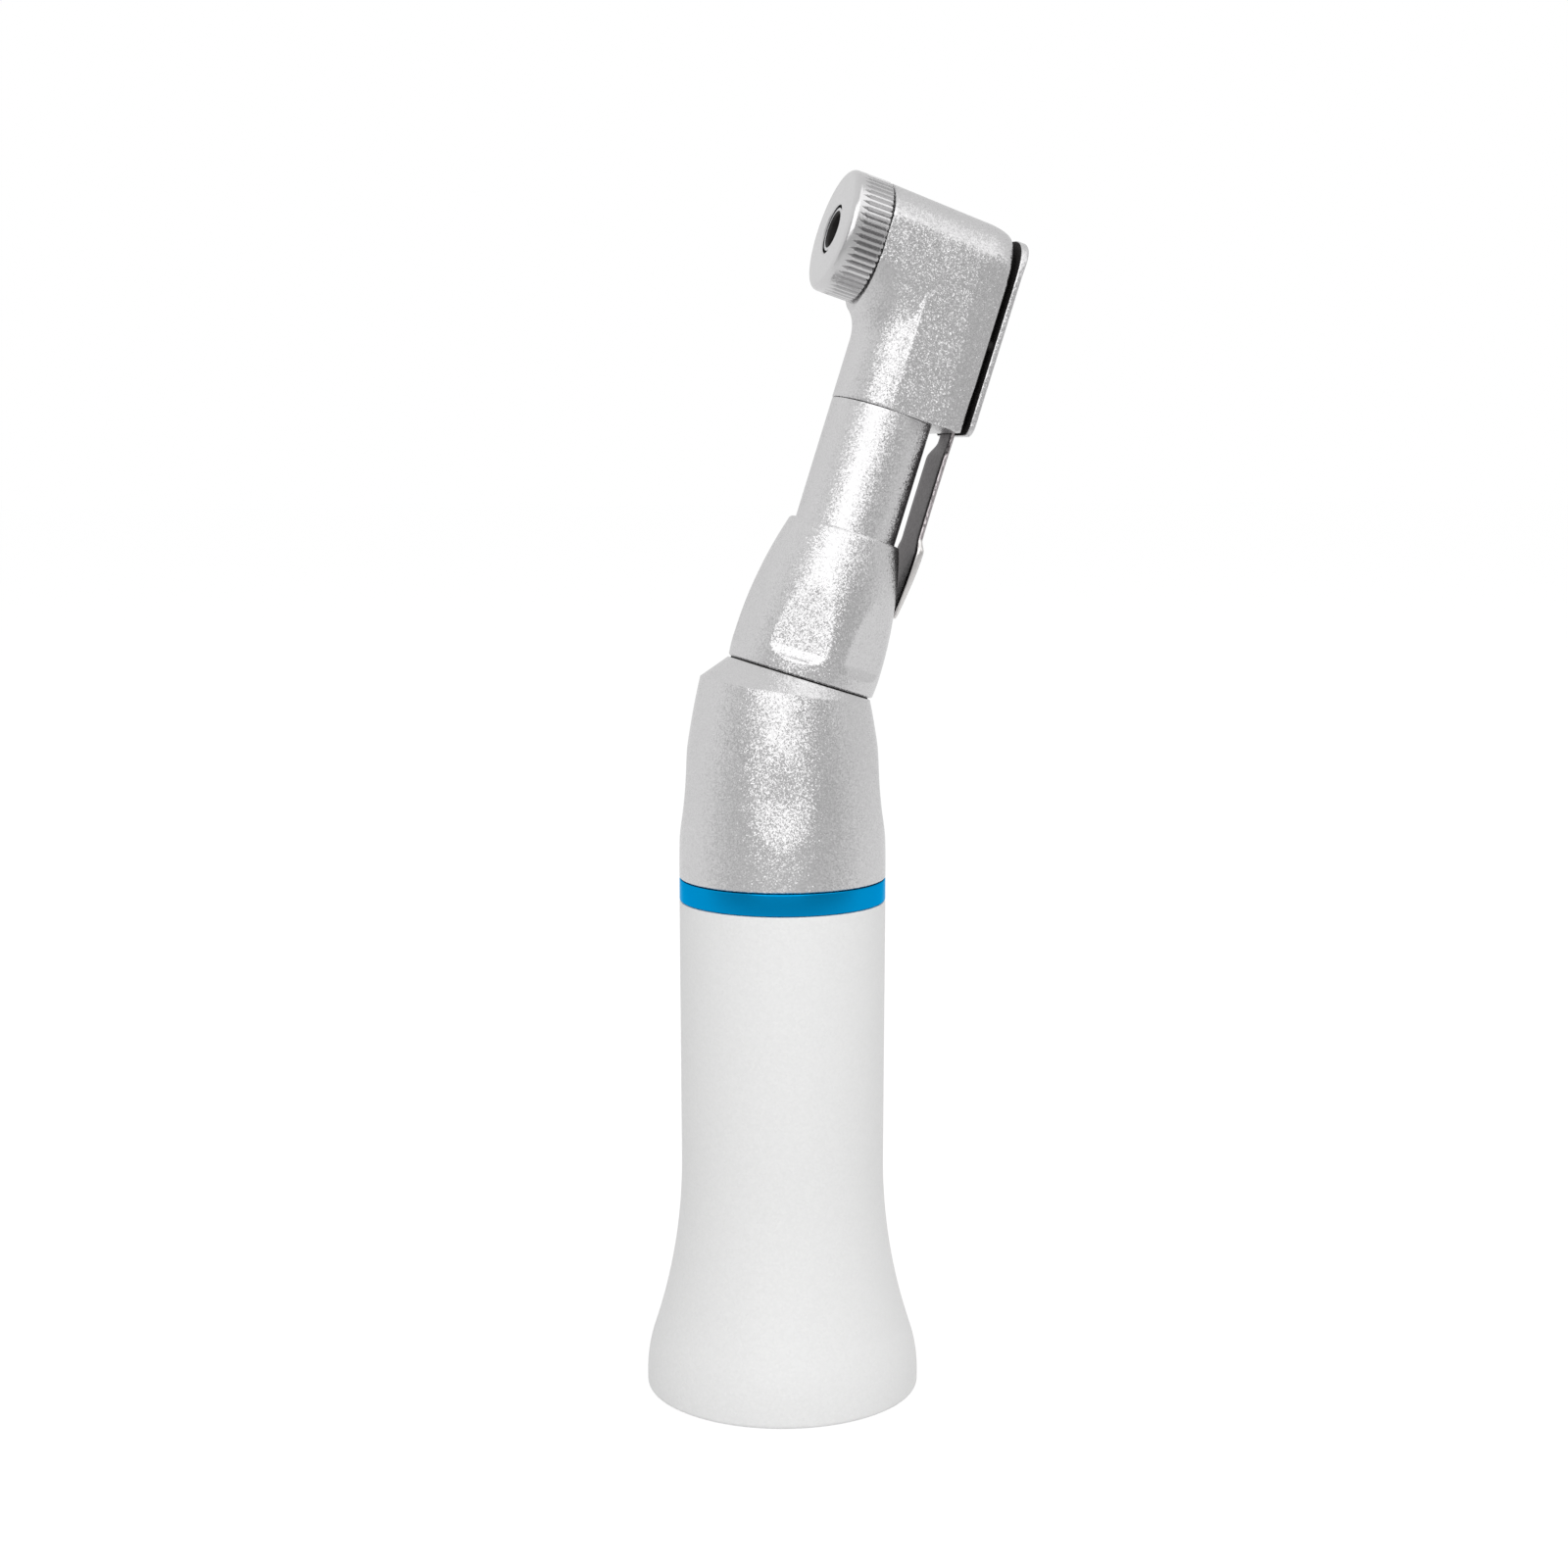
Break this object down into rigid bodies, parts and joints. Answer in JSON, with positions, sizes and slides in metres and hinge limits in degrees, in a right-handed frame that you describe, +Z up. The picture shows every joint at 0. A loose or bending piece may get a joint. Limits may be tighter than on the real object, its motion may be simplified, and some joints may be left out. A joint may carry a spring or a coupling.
{
  "type": "prophy contra-angle handpiece",
  "caption": "Bent dental handpiece with a flared motor socket, geared shafts, a lock ring at the bend and a latch-type chuck head.",
  "frame": {"origin": "centre of the handle's rim, on the handle's axis, where the motor goes in", "axes": "+Z up the handle, +X the way the neck leans, with the bur chuck facing -X and up"},
  "size_m": [0.0273, 0.02, 0.0882],
  "materials": {
    "white_sheath": "satin white coat",
    "blue_ring": "gloss blue anodised",
    "satin_metal": "bead-blasted satin",
    "plain_steel": "ground",
    "bush_bronze": "turned",
    "latch_steel": "dark spring steel with polished edges"
  },
  "bodies": {
    "housing": {"handle_sheath": "white_sheath", "colour_ring": "blue_ring", "coupling_bush": "plain_steel", "angle_housing": "satin_metal", "bush_nut": "plain_steel", "rear_bush": "bush_bronze", "bush_spacer": "plain_steel", "middle_bush": "bush_bronze", "neck_tube": "satin_metal", "neck_lower_bush": "bush_bronze", "neck_upper_bush": "bush_bronze", "head_body": "satin_metal", "head_cap": "satin_metal", "drum_front_bush": "bush_bronze", "drum_rear_bush": "bush_bronze", "latch_cover": "satin_metal", "latch_pivot_pin": "plain_steel", "upper_rivet": "plain_steel", "lower_rivet": "plain_steel"},
    "lock_ring": {"lock_ring": "satin_metal"},
    "rear_shaft": {"rear_shaft": "plain_steel", "rear_gear": "plain_steel", "rear_circlip": "latch_steel", "dog_cross_pin": "plain_steel", "dog_spring": "plain_steel"},
    "drive_dog": {"drive_dog": "plain_steel"},
    "neck_shaft": {"neck_shaft": "plain_steel", "neck_gear": "plain_steel", "head_pinion": "plain_steel"},
    "bur_drum": {"bur_drum": "plain_steel", "drum_gear": "plain_steel"},
    "latch": {"latch_lever": "latch_steel"}
  },
  "joints": [
    {"name": "rear_shaft_spin", "type": "hinge", "parent": "housing", "child": "rear_shaft", "pos_m": [0, 0, 0.04837], "axis": [0, 0, 1], "continuous": true},
    {"name": "drive_dog_slide", "type": "slide", "parent": "rear_shaft", "child": "drive_dog", "axis": [0, 0, 1], "range_m": [0, 0.0015], "stiffness_N_per_m": 200, "deforming": ["dog_spring"]},
    {"name": "neck_shaft_spin", "type": "hinge", "parent": "housing", "child": "neck_shaft", "pos_m": [0, 0, 0.04837], "axis": [0.3047, 0, 0.9524], "continuous": true},
    {"name": "bur_drum_spin", "type": "hinge", "parent": "housing", "child": "bur_drum", "pos_m": [0.0107, 0, 0.08182], "axis": [-0.9524, 0, 0.3047], "continuous": true},
    {"name": "latch_swing", "type": "hinge", "parent": "housing", "child": "latch", "pos_m": [0.01355, 0, 0.07356], "axis": [-0.9524, 0, 0.3047], "range_deg": [0, 20]},
    {"name": "lock_ring_turn", "type": "hinge", "parent": "housing", "child": "lock_ring", "pos_m": [0, 0, 0.04837], "axis": [0.3047, 0, 0.9524], "range_deg": [0, 90]}
  ],
  "couplings": [
    {"joint": "neck_shaft_spin", "follows": "rear_shaft_spin", "ratio": 1},
    {"joint": "bur_drum_spin", "follows": "rear_shaft_spin", "ratio": 1}
  ]
}
